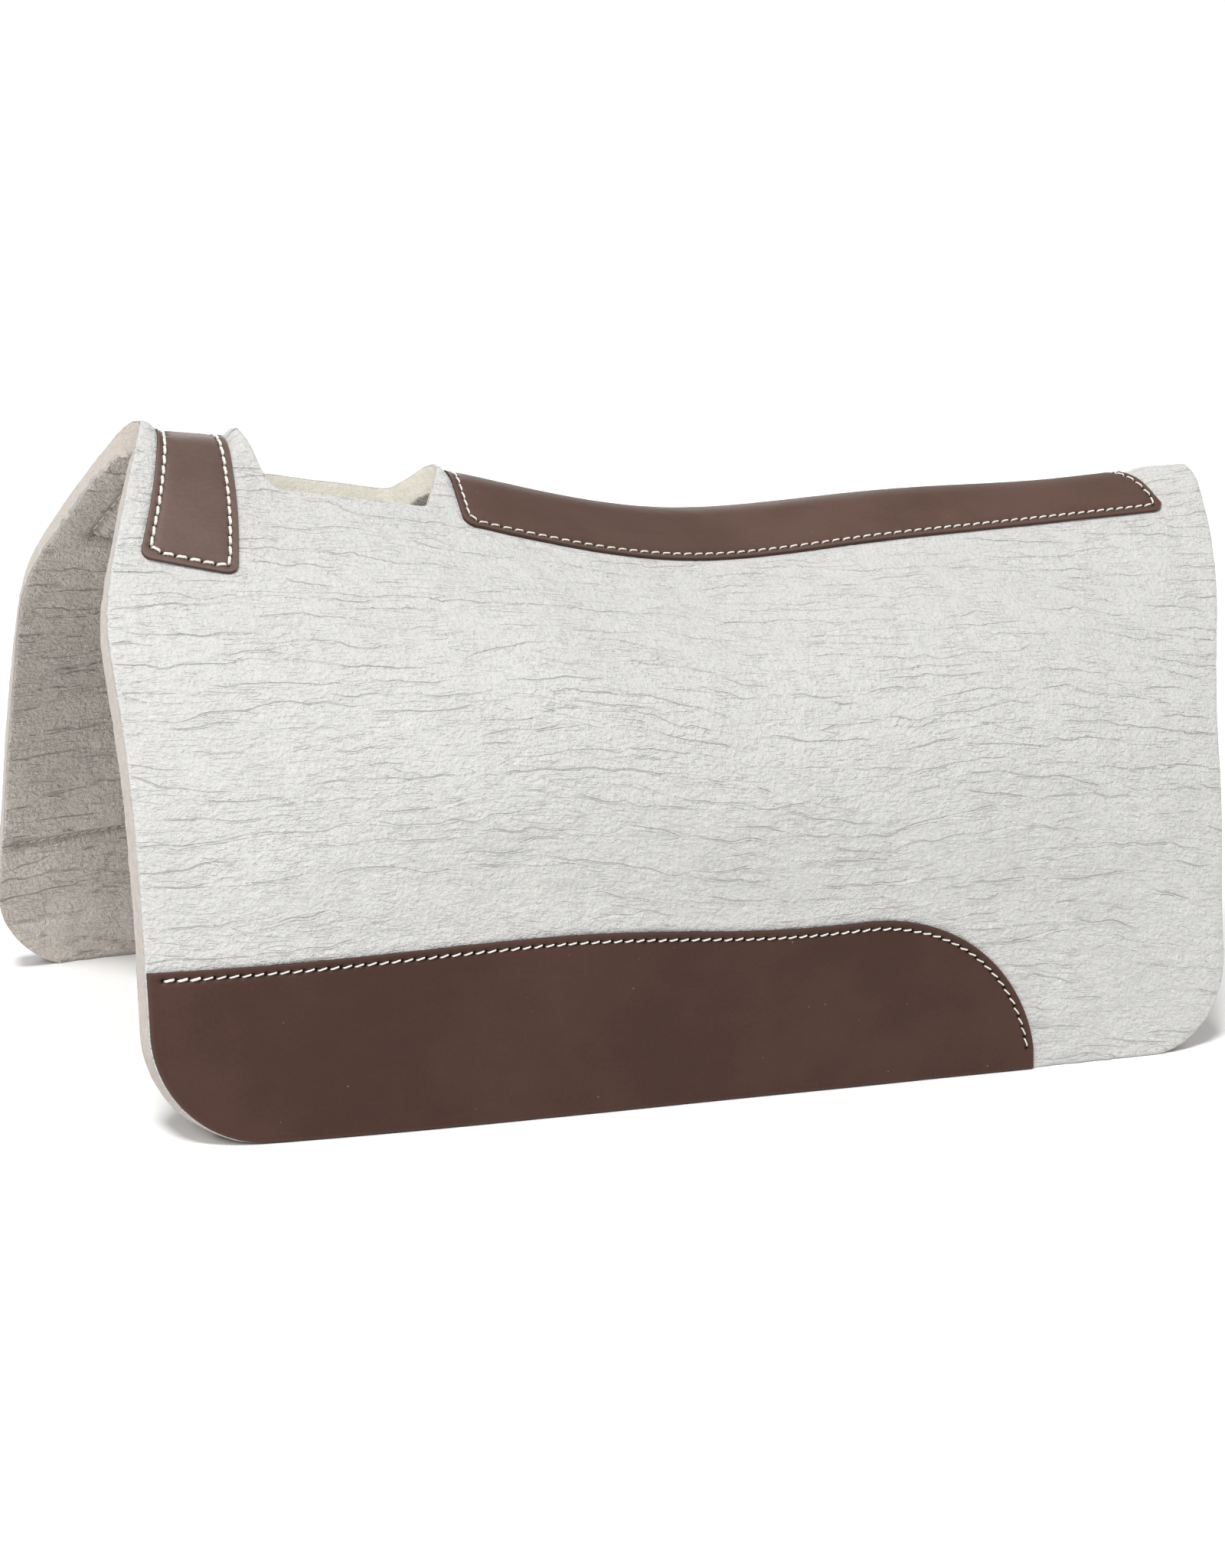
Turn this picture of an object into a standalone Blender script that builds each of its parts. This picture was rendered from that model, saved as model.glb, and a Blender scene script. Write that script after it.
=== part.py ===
"""Contoured saddle pad, standing like a tent on its two lower hems.

Two thick felt halves are joined by a zig-zag seam along the spine. A leather strap
crosses the withers in front of the relief opening, a long leather covers the seam
behind it, and a wear leather covers the lower part of each flap. Each leather is held
by a needle thread on its outer face and a bobbin thread on the felt's inner face.

Metres. +X points to the withers, +Y to the horse's left and +Z up. The origin is at
the bottom centre of the pad. Every sheet is drawn flat, as (x, arc) where arc is the
distance down the pad's side from the spine line, and is then laid on the pad's shape.
"""

import math

import bmesh
import bpy
import numpy as np

# Thicknesses, and the air between pieces that lie on each other.
FELT_THICKNESS = 0.020
LEATHER_THICKNESS = 0.0026
THREAD_WIDTH = 0.0014
THREAD_HEIGHT = 0.0007
CLEARANCE = 0.0004

# Height of the spine line above the hems, as (x, z).
CREST = [(-0.42, 0.356), (-0.28, 0.347), (-0.14, 0.341), (0.0, 0.3355), (0.14, 0.359),
         (0.28, 0.3825), (0.42, 0.408)]

# The cross-section is a round ridge, a straight roof, a bend and a straight flap. Each
# value is given at the rump, the middle and the withers, SECTION_REACH from the middle.
SECTION_REACH = 0.38
ROOF_DEGREES = (46.5, 25.5, 50.5)
FLAP_DEGREES = (76.5, 86.5, 77.5)
BEND_START = (0.1215, 0.110, 0.1255)
BEND_LENGTH = 0.203
RIDGE_RADIUS = 0.03
LONGEST_ARC = 0.56
ARC_STEPS = 280

# Front and rear edges of a felt half, as (arc, x), and the radii of its lower corners.
FRONT_EDGE = [(0.0, 0.3575), (0.06, 0.3785), (0.10, 0.3915), (0.14, 0.4025), (0.20, 0.4045),
              (0.27, 0.403), (0.45, 0.4012)]
REAR_EDGE = [(0.0, -0.4048), (0.06, -0.4015), (0.12, -0.383), (0.19, -0.353), (0.27, -0.337),
             (0.45, -0.3345)]
FRONT_CORNER = 0.067
REAR_CORNER = 0.070
STRAIGHT_ARC = 0.39

# Beside a round corner, the straight part of an outline stops this far short of it.
CORNER_GAP = 0.02

# The relief opening over the withers: the x of its ends at the spine and at its sides,
# and how far its rear and front corners are cut away.
OPENING_FRONT = (0.2935, 0.2820)
OPENING_REAR = (0.1620, 0.1815)
OPENING_HALF_WIDTH = 0.0418
OPENING_CUTS = (0.005, 0.008)

# The strap over the withers: its front and rear sides as (arc, x), and the reach of each.
STRAP_FRONT = [(0.0, 0.3475), (0.05, 0.3595), (0.11, 0.3795)]
STRAP_REAR = [(0.0, 0.3040), (0.06, 0.3100), (0.115, 0.3208)]
STRAP_REACH = (0.1068, 0.1158)

# The corner of a leather, and how much smaller it gets along an inset line of stitches.
LEATHER_CORNER = 0.008
CORNER_LOSS = 0.6

# The spine leather: its half width as (x, arc), and its ends at the spine and at the side.
SPINE_HALF_WIDTH = [(-0.37, 0.0408), (-0.27, 0.0445), (-0.17, 0.053), (-0.06, 0.0575),
                    (0.06, 0.063), (0.16, 0.0575)]
SPINE_FRONT = (0.155, 0.160)
SPINE_REAR = (-0.353, -0.368)
SPINE_END_DEGREES = (10, 165)

# The wear leather: its upper edge as (x, arc), the ellipse that ends it at the rear, the
# arcs at which its front edge is drawn, and the x where its edge and stitches begin.
WEAR_TOP = [(-0.0585, 0.341), (0.05, 0.344), (0.18, 0.3532), (0.30, 0.3588), (0.405, 0.3615)]
WEAR_ROUND_LENGTH = 0.1225
WEAR_END_DEGREES = 172
WEAR_FRONT_ARCS = (0.385, 0.3615)
WEAR_EDGE_START = 0.375
WEAR_STITCH_START = 0.3925
WEAR_INSET = 0.0005

# Stitch lines keep this far inside a leather's edge. The spine seam's zig-zag has this
# width and step, and starts this far from the ends of the felt.
STITCH_INSET = 0.005
SEAM_HALF_WIDTH = 0.006
SEAM_STEP = 0.018
SEAM_END_GAP = 0.006

# Creases at which every sheet is folded, so that sheets on each other stay parallel.
X_LINES = np.linspace(-0.39, 0.39, 31)
ARC_LINES = [0.0, 0.006, 0.012, 0.018, 0.025, 0.035, 0.06, 0.09, 0.12, 0.155, 0.19, 0.225,
             0.26, 0.295, 0.33, 0.36, 0.385, 0.41, 0.435]

# The number of outline points along a free edge, a hem, a leather's side and a corner.
EDGE_POINTS = 14
HEM_POINTS = 15
SIDE_POINTS = 10
CORNER_STEPS = 4

# Colour and roughness.
FELT_LOOK = ((0.72, 0.71, 0.67), 0.95)
DARK_LEATHER_LOOK = ((0.088, 0.048, 0.036), 0.55)
TRIM_LEATHER_LOOK = ((0.155, 0.105, 0.088), 0.6)
THREAD_LOOK = ((0.80, 0.77, 0.70), 0.8)


def spline(points, at):
    """A natural cubic curve through the points, read at one place or at many."""
    known, value = np.array(points, float).T
    step = np.diff(known)
    rise = np.diff(value) / step
    count = len(known)
    matrix = np.eye(count)
    right = np.zeros(count)
    for i in range(1, count - 1):
        matrix[i, i - 1:i + 2] = step[i - 1], 2 * (step[i - 1] + step[i]), step[i]
        right[i] = 6 * (rise[i] - rise[i - 1])
    bend = np.linalg.solve(matrix, right)
    place = np.asarray(at, float)
    i = np.clip(np.searchsorted(known, place) - 1, 0, count - 2)
    t = place - known[i]
    first = rise[i] - step[i] * (2 * bend[i] + bend[i + 1]) / 6
    return value[i] + t * (first + t * (bend[i] / 2 + t * (bend[i + 1] - bend[i]) / (6 * step[i])))


def along(values, x):
    """The parabola through a value at the rump, in the middle and at the withers."""
    rump, middle, withers = values
    u = x / SECTION_REACH
    return middle + u * (withers - rump) / 2 + u * u * ((withers + rump) / 2 - middle)


def steepness(x, arc):
    """How far the surface has turned down at this arc, in radians."""
    roof = np.radians(along(ROOF_DEGREES, x))
    flap = np.radians(along(FLAP_DEGREES, x))
    bend = np.clip((arc - along(BEND_START, x)) / BEND_LENGTH, 0, 1)
    bend = bend * bend * (3 - 2 * bend)
    return roof * np.clip(arc / (RIDGE_RADIUS * roof), 0, 1) + (flap - roof) * bend


def section(x):
    """The cross-section at x: its arcs, its distances from the middle and its drops."""
    arcs = np.linspace(0, LONGEST_ARC, ARC_STEPS + 1)
    turn = steepness(x, arcs)
    step = arcs[1]
    out = np.concatenate([[0], np.cumsum(np.cos(turn[1:]) + np.cos(turn[:-1]))]) * step / 2
    drop = np.concatenate([[0], np.cumsum(np.sin(turn[1:]) + np.sin(turn[:-1]))]) * step / 2
    return arcs, out, drop


def hem_arc(x):
    """The arc at which the outer surface reaches the ground."""
    arcs, _, drop = section(x)
    return float(np.interp(spline(CREST, x), drop, arcs))


def on_pad(x, arc, height):
    """The point of the pad's left side at (x, arc), raised by height along the normal."""
    arcs, out, drop = section(x)
    turn = steepness(x, abs(arc))
    y = np.interp(abs(arc), arcs, out) + height * math.sin(turn)
    z = float(spline(CREST, x)) - np.interp(abs(arc), arcs, drop) + height * math.cos(turn)
    return x, y, max(z, 0.0)


def arc_corner(centre, radii, first, last, steps=7):
    """Points on a round corner, from one angle to another in degrees."""
    turns = [math.radians(first + (last - first) * i / steps) for i in range(steps + 1)]
    return [(centre[0] + radii[0] * math.cos(t), centre[1] + radii[1] * math.sin(t)) for t in turns]


def bevel(before, corner, after, cut):
    """A rounded corner between two straight sides, cut away for so far along each."""
    before, corner, after = (np.array(p, float) for p in (before, corner, after))
    first = corner + (before - corner) / np.linalg.norm(before - corner) * cut
    last = corner + (after - corner) / np.linalg.norm(after - corner) * cut
    shares = np.linspace(0, 1, CORNER_STEPS + 1)
    return [tuple(first * (1 - t) ** 2 + corner * 2 * t * (1 - t) + last * t * t) for t in shares]


def lower_corner(edge, radius, front, inset=0.0):
    """A lower corner of the flap, between its front or rear edge and its hem."""
    side = 1 if front else -1
    upright = float(spline(edge, STRAIGHT_ARC)) - side * inset
    centre_x = upright - side * radius
    centre = (centre_x, hem_arc(centre_x) - inset - radius)
    return arc_corner(centre, (side * radius, radius), 0, 90)


def opening_half():
    """The left half of the relief opening's rim, from the spine forward to the spine."""
    rear = (OPENING_REAR[0], 0.0), (OPENING_REAR[1], OPENING_HALF_WIDTH)
    front = (OPENING_FRONT[0], 0.0), (OPENING_FRONT[1], OPENING_HALF_WIDTH)
    side = bevel(rear[0], rear[1], front[1], OPENING_CUTS[0])
    side += bevel(rear[1], front[1], front[0], OPENING_CUTS[1])
    return [rear[0]] + side + [front[0]]


def felt_outline():
    """One felt half, drawn flat from the spine forward, down, along the hem and back."""
    front = lower_corner(FRONT_EDGE, FRONT_CORNER, True)
    rear = lower_corner(REAR_EDGE, REAR_CORNER, False)
    down = np.linspace(0, front[0][1] - CORNER_GAP, EDGE_POINTS)
    back = np.linspace(front[-1][0] - CORNER_GAP, rear[-1][0] + CORNER_GAP, HEM_POINTS)
    up = np.linspace(rear[0][1] - CORNER_GAP, 0, EDGE_POINTS)
    points = [(float(spline(FRONT_EDGE, arc)), arc) for arc in down]
    points += front
    points += [(x, hem_arc(x)) for x in back]
    points += rear[::-1]
    points += [(float(spline(REAR_EDGE, arc)), arc) for arc in up]
    return points + opening_half()


def both_sides(half):
    """A closed outline across the spine, from its half that runs from spine to spine."""
    return half + [(x, -arc) for x, arc in half[::-1] if arc > 0]


def strap_half(inset):
    """The left half of the strap's outline, or of the line that lies inset inside it."""
    cut = LEATHER_CORNER - inset * CORNER_LOSS
    down = np.linspace(0, STRAP_REACH[0] - inset, SIDE_POINTS)
    up = np.linspace(STRAP_REACH[1] - inset, 0, SIDE_POINTS)
    front = [(float(spline(STRAP_FRONT, arc)) - inset, arc) for arc in down]
    rear = [(float(spline(STRAP_REAR, arc)) + inset, arc) for arc in up]
    corner = bevel(front[-2], front[-1], rear[0], cut)
    other = bevel(front[-1], rear[0], rear[1], cut)
    return front[:-1] + corner + other + rear[1:]


def spine_half(inset):
    """The left half of the spine leather's outline, or of a line inset inside it."""
    radius = LEATHER_CORNER - inset * CORNER_LOSS
    front, rear = SPINE_FRONT[1] - inset, SPINE_REAR[1] + inset
    size = (radius, radius)
    centre = (front - radius, float(spline(SPINE_HALF_WIDTH, front)) - inset - radius)
    far = (rear + radius, float(spline(SPINE_HALF_WIDTH, rear)) - inset - radius)
    xs = np.linspace(front - radius - CORNER_GAP, rear + radius + CORNER_GAP, HEM_POINTS)
    side = [(x, float(spline(SPINE_HALF_WIDTH, x)) - inset) for x in xs]
    first = [(SPINE_FRONT[0] - inset, 0.0)]
    last = [(SPINE_REAR[0] + inset, 0.0)]
    corner = arc_corner(centre, size, SPINE_END_DEGREES[0], 90, CORNER_STEPS)
    other = arc_corner(far, size, 90, SPINE_END_DEGREES[1], CORNER_STEPS)
    return first + corner + side + other + last


def wear_top(front, inset):
    """The wear leather's upper edge and round rear end, from x = front down to the hem."""
    start = WEAR_TOP[0][0]
    xs = np.linspace(front, start + CORNER_GAP, EDGE_POINTS)
    top = [(x, float(spline(WEAR_TOP, x)) + inset) for x in xs]
    depth = hem_arc(start - WEAR_ROUND_LENGTH) - WEAR_TOP[0][1]
    centre = (start, WEAR_TOP[0][1] + depth)
    size = (WEAR_ROUND_LENGTH - inset, -(depth - inset))
    return top + arc_corner(centre, size, 90, WEAR_END_DEGREES, SIDE_POINTS)


def wear_outline():
    """The left wear leather, just inside the felt's front edge and hem."""
    front = lower_corner(FRONT_EDGE, FRONT_CORNER, True, WEAR_INSET)
    edge = [(float(spline(FRONT_EDGE, arc)) - WEAR_INSET, arc) for arc in WEAR_FRONT_ARCS]
    top = wear_top(WEAR_EDGE_START, 0.0)
    rear_x = WEAR_TOP[0][0] - WEAR_ROUND_LENGTH
    xs = np.linspace(rear_x + WEAR_INSET, front[-1][0] - CORNER_GAP, HEM_POINTS)
    hem = [(x, hem_arc(x) - WEAR_INSET) for x in xs]
    return edge + top + hem + front[::-1]


def flat_sheet(outline):
    """A flat mesh with one face inside the outline."""
    mesh = bmesh.new()
    mesh.faces.new([mesh.verts.new((x, arc, 0)) for x, arc in outline])
    return mesh


def flat_band(path, width, closed):
    """A flat mesh of a narrow band along the path."""
    points = np.array(path, float)
    if closed:
        ahead, behind = np.roll(points, -1, axis=0), np.roll(points, 1, axis=0)
    else:
        ahead = np.vstack([points[1:], points[-1:]])
        behind = np.vstack([points[:1], points[:-1]])
    course = ahead - behind
    course /= np.linalg.norm(course, axis=1)[:, None]
    across = np.stack([-course[:, 1], course[:, 0]], axis=1) * width / 2
    mesh = bmesh.new()
    left = [mesh.verts.new((*p, 0)) for p in points + across]
    right = [mesh.verts.new((*p, 0)) for p in points - across]
    for i in range(len(points) if closed else len(points) - 1):
        j = (i + 1) % len(points)
        mesh.faces.new((left[i], left[j], right[j], right[i]))
    return mesh


def crease(flat):
    """Cuts the flat mesh along the lines where every sheet is folded."""
    lines = [((x, 0, 0), (1, 0, 0)) for x in X_LINES]
    lines += [((0, side * arc, 0), (0, 1, 0)) for arc in ARC_LINES for side in (1, -1)]
    for point, normal in lines:
        parts = flat.verts[:] + flat.edges[:] + flat.faces[:]
        bmesh.ops.bisect_plane(flat, geom=parts, dist=1e-5, plane_co=point, plane_no=normal)


def material(name, colour, roughness):
    """A plain Principled material."""
    made = bpy.data.materials.new(name)
    made.use_nodes = True
    shader = made.node_tree.nodes["Principled BSDF"]
    shader.inputs["Base Color"].default_value = (*colour, 1)
    shader.inputs["Roughness"].default_value = roughness
    shader.inputs["Metallic"].default_value = 0.0
    return made


def lay_on_pad(name, flat, low, high, look, side=0):
    """Closes the flat mesh into a solid between two heights above the felt's face.

    side is 1 for a left piece, -1 for a right one, and 0 for one that crosses the spine.
    """
    crease(flat)
    solid = bmesh.new()
    skins = []
    for height in (high, low):
        skin = {}
        for v in flat.verts:
            hand = side or math.copysign(1, v.co.y)
            x, y, z = on_pad(v.co.x, v.co.y, height)
            beside = hand * (y + abs(side) * CLEARANCE / 2)
            skin[v] = solid.verts.new((x, beside, z))
        skins.append(skin)
    for face in flat.faces:
        for skin in skins:
            solid.faces.new([skin[v] for v in face.verts])
    for edge in flat.edges:
        if len(edge.link_faces) == 1:
            a, b = edge.verts
            solid.faces.new((skins[0][a], skins[0][b], skins[1][b], skins[1][a]))
    bmesh.ops.recalc_face_normals(solid, faces=solid.faces)
    bmesh.ops.triangulate(solid, faces=solid.faces)
    mesh = bpy.data.meshes.new(name)
    solid.to_mesh(mesh)
    solid.free()
    flat.free()
    made = bpy.data.objects.new(name, mesh)
    mesh.materials.append(material(name, *look))
    bpy.context.scene.collection.objects.link(made)
    return made


def zigzag(first, last):
    """The path of a zig-zag seam across the spine."""
    count = round(abs(last - first) / SEAM_STEP)
    xs = np.linspace(first, last, count + 1)
    return [(x, SEAM_HALF_WIDTH * (-1) ** i) for i, x in enumerate(xs)]


def add_felt():
    """The two felt halves, whose outer faces are the pad's shape."""
    for name, side in (("felt_left", 1), ("felt_right", -1)):
        lay_on_pad(name, flat_sheet(felt_outline()), -FELT_THICKNESS, 0.0, FELT_LOOK, side)


def add_leathers():
    """The strap, the spine leather and the two wear leathers, a little above the felt."""
    low, high = CLEARANCE, CLEARANCE + LEATHER_THICKNESS
    strap = flat_sheet(both_sides(strap_half(0.0)))
    lay_on_pad("wither_strap", strap, low, high, TRIM_LEATHER_LOOK)
    spine = flat_sheet(both_sides(spine_half(0.0)))
    lay_on_pad("spine_leather", spine, low, high, TRIM_LEATHER_LOOK)
    for name, side in (("wear_leather_left", 1), ("wear_leather_right", -1)):
        lay_on_pad(name, flat_sheet(wear_outline()), low, high, DARK_LEATHER_LOOK, side)


def add_threads():
    """A needle thread on the outer face of each leather, and its bobbin thread inside."""
    over = CLEARANCE * 2 + LEATHER_THICKNESS
    under = -FELT_THICKNESS - CLEARANCE
    below_seam = under - THREAD_HEIGHT - CLEARANCE
    loops = (("strap", both_sides(strap_half(STITCH_INSET))),
             ("spine", both_sides(spine_half(STITCH_INSET))))
    for name, path in loops:
        needle = flat_band(path, THREAD_WIDTH, True)
        lay_on_pad(name + "_needle_thread", needle, over, over + THREAD_HEIGHT, THREAD_LOOK)
        bobbin = flat_band(path, THREAD_WIDTH, True)
        low = below_seam - THREAD_HEIGHT
        lay_on_pad(name + "_bobbin_thread", bobbin, low, below_seam, THREAD_LOOK)
    path = wear_top(WEAR_STITCH_START, STITCH_INSET)
    for hand, side in (("left", 1), ("right", -1)):
        name = "wear_needle_thread_" + hand
        needle = flat_band(path, THREAD_WIDTH, False)
        lay_on_pad(name, needle, over, over + THREAD_HEIGHT, THREAD_LOOK, side)
        name = "wear_bobbin_thread_" + hand
        bobbin = flat_band(path, THREAD_WIDTH, False)
        lay_on_pad(name, bobbin, under - THREAD_HEIGHT, under, THREAD_LOOK, side)


def add_spine_seams():
    """The zig-zag threads that join the felt halves before and behind the opening."""
    high = -FELT_THICKNESS - CLEARANCE
    spans = (("spine_seam_front", OPENING_FRONT[0], FRONT_EDGE[0][1]),
             ("spine_seam_rear", REAR_EDGE[0][1], OPENING_REAR[0]))
    for name, first, last in spans:
        path = zigzag(first + SEAM_END_GAP, last - SEAM_END_GAP)
        band = flat_band(path, THREAD_WIDTH, False)
        lay_on_pad(name, band, high - THREAD_HEIGHT, high, THREAD_LOOK)


def main():
    """Builds the whole pad in an empty scene."""
    for old in list(bpy.data.objects):
        bpy.data.objects.remove(old, do_unlink=True)
    add_felt()
    add_leathers()
    add_threads()
    add_spine_seams()


main()
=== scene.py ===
"""Looks of a contoured felt saddle pad with stitched leather trims, standing on its hems.

Every sheet is drawn flat, as (x, arc), where arc is the distance down from the spine
line, negative on the right side. It is then laid on the pad's shape, as in the CAD.
Lengths are in metres.
"""

import math

import bpy
import numpy as np
from mathutils import Matrix, Vector
from mathutils.geometry import delaunay_2d_cdt
from mathutils.kdtree import KDTree


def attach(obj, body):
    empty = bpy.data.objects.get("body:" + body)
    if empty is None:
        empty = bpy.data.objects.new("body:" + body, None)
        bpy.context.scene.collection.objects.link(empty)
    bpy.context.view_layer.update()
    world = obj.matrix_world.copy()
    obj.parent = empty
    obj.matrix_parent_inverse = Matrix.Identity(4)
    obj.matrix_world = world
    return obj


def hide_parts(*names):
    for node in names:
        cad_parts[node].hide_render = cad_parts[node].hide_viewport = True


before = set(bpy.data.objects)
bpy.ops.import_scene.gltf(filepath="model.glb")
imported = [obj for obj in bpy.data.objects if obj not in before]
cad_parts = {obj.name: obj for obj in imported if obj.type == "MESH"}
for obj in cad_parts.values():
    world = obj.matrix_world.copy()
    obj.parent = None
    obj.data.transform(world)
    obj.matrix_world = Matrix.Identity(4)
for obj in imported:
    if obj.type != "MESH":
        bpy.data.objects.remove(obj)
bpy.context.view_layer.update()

# The CAD's driving numbers.
FELT = 0.020
LEATHER = 0.0026
GAP = 0.0004
CREST = [(-0.42, 0.356), (-0.28, 0.347), (-0.14, 0.341), (0.0, 0.3355), (0.14, 0.359),
         (0.28, 0.3825), (0.42, 0.408)]
SECTION_REACH = 0.38
ROOF_DEGREES = (46.5, 25.5, 50.5)
FLAP_DEGREES = (76.5, 86.5, 77.5)
BEND_START = (0.1215, 0.110, 0.1255)
BEND_LENGTH = 0.203
RIDGE_RADIUS = 0.03
LONGEST_ARC = 0.56
FRONT_EDGE = [(0.0, 0.3575), (0.06, 0.3785), (0.10, 0.3915), (0.14, 0.4025), (0.20, 0.4045),
              (0.27, 0.403), (0.45, 0.4012)]
REAR_EDGE = [(0.0, -0.4048), (0.06, -0.4015), (0.12, -0.383), (0.19, -0.353), (0.27, -0.337),
             (0.45, -0.3345)]
FRONT_CORNER = 0.067
REAR_CORNER = 0.070
STRAIGHT_ARC = 0.39
OPENING_FRONT = (0.2935, 0.2820)
OPENING_REAR = (0.1620, 0.1815)
OPENING_HALF_WIDTH = 0.0418
OPENING_CUTS = (0.005, 0.008)
STRAP_FRONT = [(0.0, 0.3475), (0.05, 0.3595), (0.11, 0.3795)]
STRAP_REAR = [(0.0, 0.3040), (0.06, 0.3100), (0.115, 0.3208)]
STRAP_REACH = (0.1068, 0.1158)
LEATHER_CORNER = 0.008
CORNER_SHRINK = 0.6
SPINE_HALF_WIDTH = [(-0.37, 0.0408), (-0.27, 0.0445), (-0.17, 0.053), (-0.06, 0.0575),
                    (0.06, 0.063), (0.16, 0.0575)]
SPINE_FRONT = (0.155, 0.160)
SPINE_REAR = (-0.353, -0.368)
WEAR_TOP = [(-0.0585, 0.341), (0.05, 0.344), (0.18, 0.3532), (0.30, 0.3588), (0.405, 0.3615)]
WEAR_ROUND_LENGTH = 0.1225
WEAR_INSET = 0.0005
WEAR_FRONT_ARCS = (0.3615, 0.385)
WEAR_EDGE_START = 0.375
WEAR_STITCH_START = 0.3925
STITCH_INSET = 0.005
SEAM_HALF_WIDTH = 0.006

# Each leather's flat size and area.
STRAP_FLAT, STRAP_AREA = (0.0723, 0.2292), 0.0115
SPINE_FLAT, SPINE_AREA = (0.528, 0.126), 0.0561

# Stitches: the distance from hole to hole, the thread and how far a stitch slants.
PITCH = 0.0079
FLAP_PITCH = 0.0074
THREAD = 0.00062
STRAP_THREAD = 0.00092
FLAP_THREAD = 0.00052
BOBBIN_THREAD = 0.00055
SEAM_THREAD = 0.0006
THREAD_FLATNESS = 0.82
SLANT = {"strap": 0.0004, "spine": 0.0005, "flap": 0.0009}
STITCH_ENDS = 0.10


def spline(points, at):
    """A natural cubic curve through the points, read at one place or at many."""
    known, value = np.array(points, float).T
    step = np.diff(known)
    rise = np.diff(value) / step
    count = len(known)
    matrix = np.eye(count)
    right = np.zeros(count)
    for i in range(1, count - 1):
        matrix[i, i - 1:i + 2] = step[i - 1], 2 * (step[i - 1] + step[i]), step[i]
        right[i] = 6 * (rise[i] - rise[i - 1])
    bend = np.linalg.solve(matrix, right)
    place = np.asarray(at, float)
    i = np.clip(np.searchsorted(known, place) - 1, 0, count - 2)
    t = place - known[i]
    first = rise[i] - step[i] * (2 * bend[i] + bend[i + 1]) / 6
    return value[i] + t * (first + t * (bend[i] / 2 + t * (bend[i + 1] - bend[i]) / (6 * step[i])))


def smooth(t):
    """0 below 0, 1 above 1, and a smooth step between."""
    t = np.clip(t, 0, 1)
    return t * t * (3 - 2 * t)


def hump(distance, width):
    """A round bump, 1 in its middle."""
    return np.exp(-(distance / width) ** 2)


# ---- the pad's shape ----

def along(values, x):
    """The parabola through a value at the rump, in the middle and at the withers."""
    rump, middle, withers = values
    u = x / SECTION_REACH
    return middle + u * (withers - rump) / 2 + u * u * ((withers + rump) / 2 - middle)


def steepness(x, arc):
    """How far the surface has turned down at this arc, in radians."""
    roof = np.radians(along(ROOF_DEGREES, x))
    flap = np.radians(along(FLAP_DEGREES, x))
    bend = smooth((arc - along(BEND_START, x)) / BEND_LENGTH)
    return roof * np.clip(arc / (RIDGE_RADIUS * roof), 0, 1) + (flap - roof) * bend


TABLE_X = np.linspace(-0.43, 0.43, 431)
TABLE_ARC = np.linspace(0, LONGEST_ARC, 281)
TABLE_TURN = steepness(TABLE_X[:, None], TABLE_ARC[None, :])


def running_sum(slope):
    """The integral of the slope down each cross-section."""
    parts = (slope[:, 1:] + slope[:, :-1]) / 2 * TABLE_ARC[1]
    return np.concatenate([np.zeros((len(slope), 1)), np.cumsum(parts, axis=1)], axis=1)


TABLE_OUT = running_sum(np.cos(TABLE_TURN))
TABLE_DROP = running_sum(np.sin(TABLE_TURN))
TABLE_HEM = np.array([np.interp(spline(CREST, x), drop, TABLE_ARC)
                      for x, drop in zip(TABLE_X, TABLE_DROP)])


def read_grid(grid, u, v):
    """The grid's value between its points, at fractional indices."""
    i = np.clip(np.floor(u).astype(int), 0, grid.shape[0] - 2)
    j = np.clip(np.floor(v).astype(int), 0, grid.shape[1] - 2)
    p, q = u - i, v - j
    low = grid[i, j] * (1 - q) + grid[i, j + 1] * q
    high = grid[i + 1, j] * (1 - q) + grid[i + 1, j + 1] * q
    return low * (1 - p) + high * p


def hem_arc(x):
    """The arc at which the outer surface reaches the ground."""
    return np.interp(x, TABLE_X, TABLE_HEM)


def lay(x, arc, height):
    """Points of the pad at (x, arc), raised by height along the surface's normal."""
    down = np.abs(arc)
    u = (x - TABLE_X[0]) / (TABLE_X[1] - TABLE_X[0])
    v = down / TABLE_ARC[1]
    turn = steepness(x, down)
    y = read_grid(TABLE_OUT, u, v) + height * np.sin(turn)
    z = spline(CREST, x) - read_grid(TABLE_DROP, u, v) + height * np.cos(turn)
    return np.stack([x, np.where(arc < 0, -y, y), np.maximum(z, 0)], axis=-1)


def normal_of(x, arc):
    """The outward normal of the pad's cross-section."""
    turn = steepness(x, np.abs(arc))
    sideways = np.where(arc < 0, -1, 1) * np.sin(turn)
    return np.stack([np.zeros_like(turn), sideways, np.cos(turn)], axis=-1)


# ---- flat outlines ----

def arc_corner(centre, radii, first, last, steps=24):
    """Points on a round corner, from one angle to another in degrees."""
    turns = np.radians(np.linspace(first, last, steps + 1))
    return [(centre[0] + radii[0] * math.cos(t), centre[1] + radii[1] * math.sin(t)) for t in turns]


def bevel(before, corner, after, cut, steps=8):
    """A rounded corner between two straight sides, cut away for so far along each."""
    before, corner, after = (np.array(p, float) for p in (before, corner, after))
    first = corner + (before - corner) / np.linalg.norm(before - corner) * cut
    last = corner + (after - corner) / np.linalg.norm(after - corner) * cut
    ts = np.linspace(0, 1, steps + 1)
    return [tuple(first * (1 - t) ** 2 + corner * 2 * t * (1 - t) + last * t * t) for t in ts]


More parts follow.
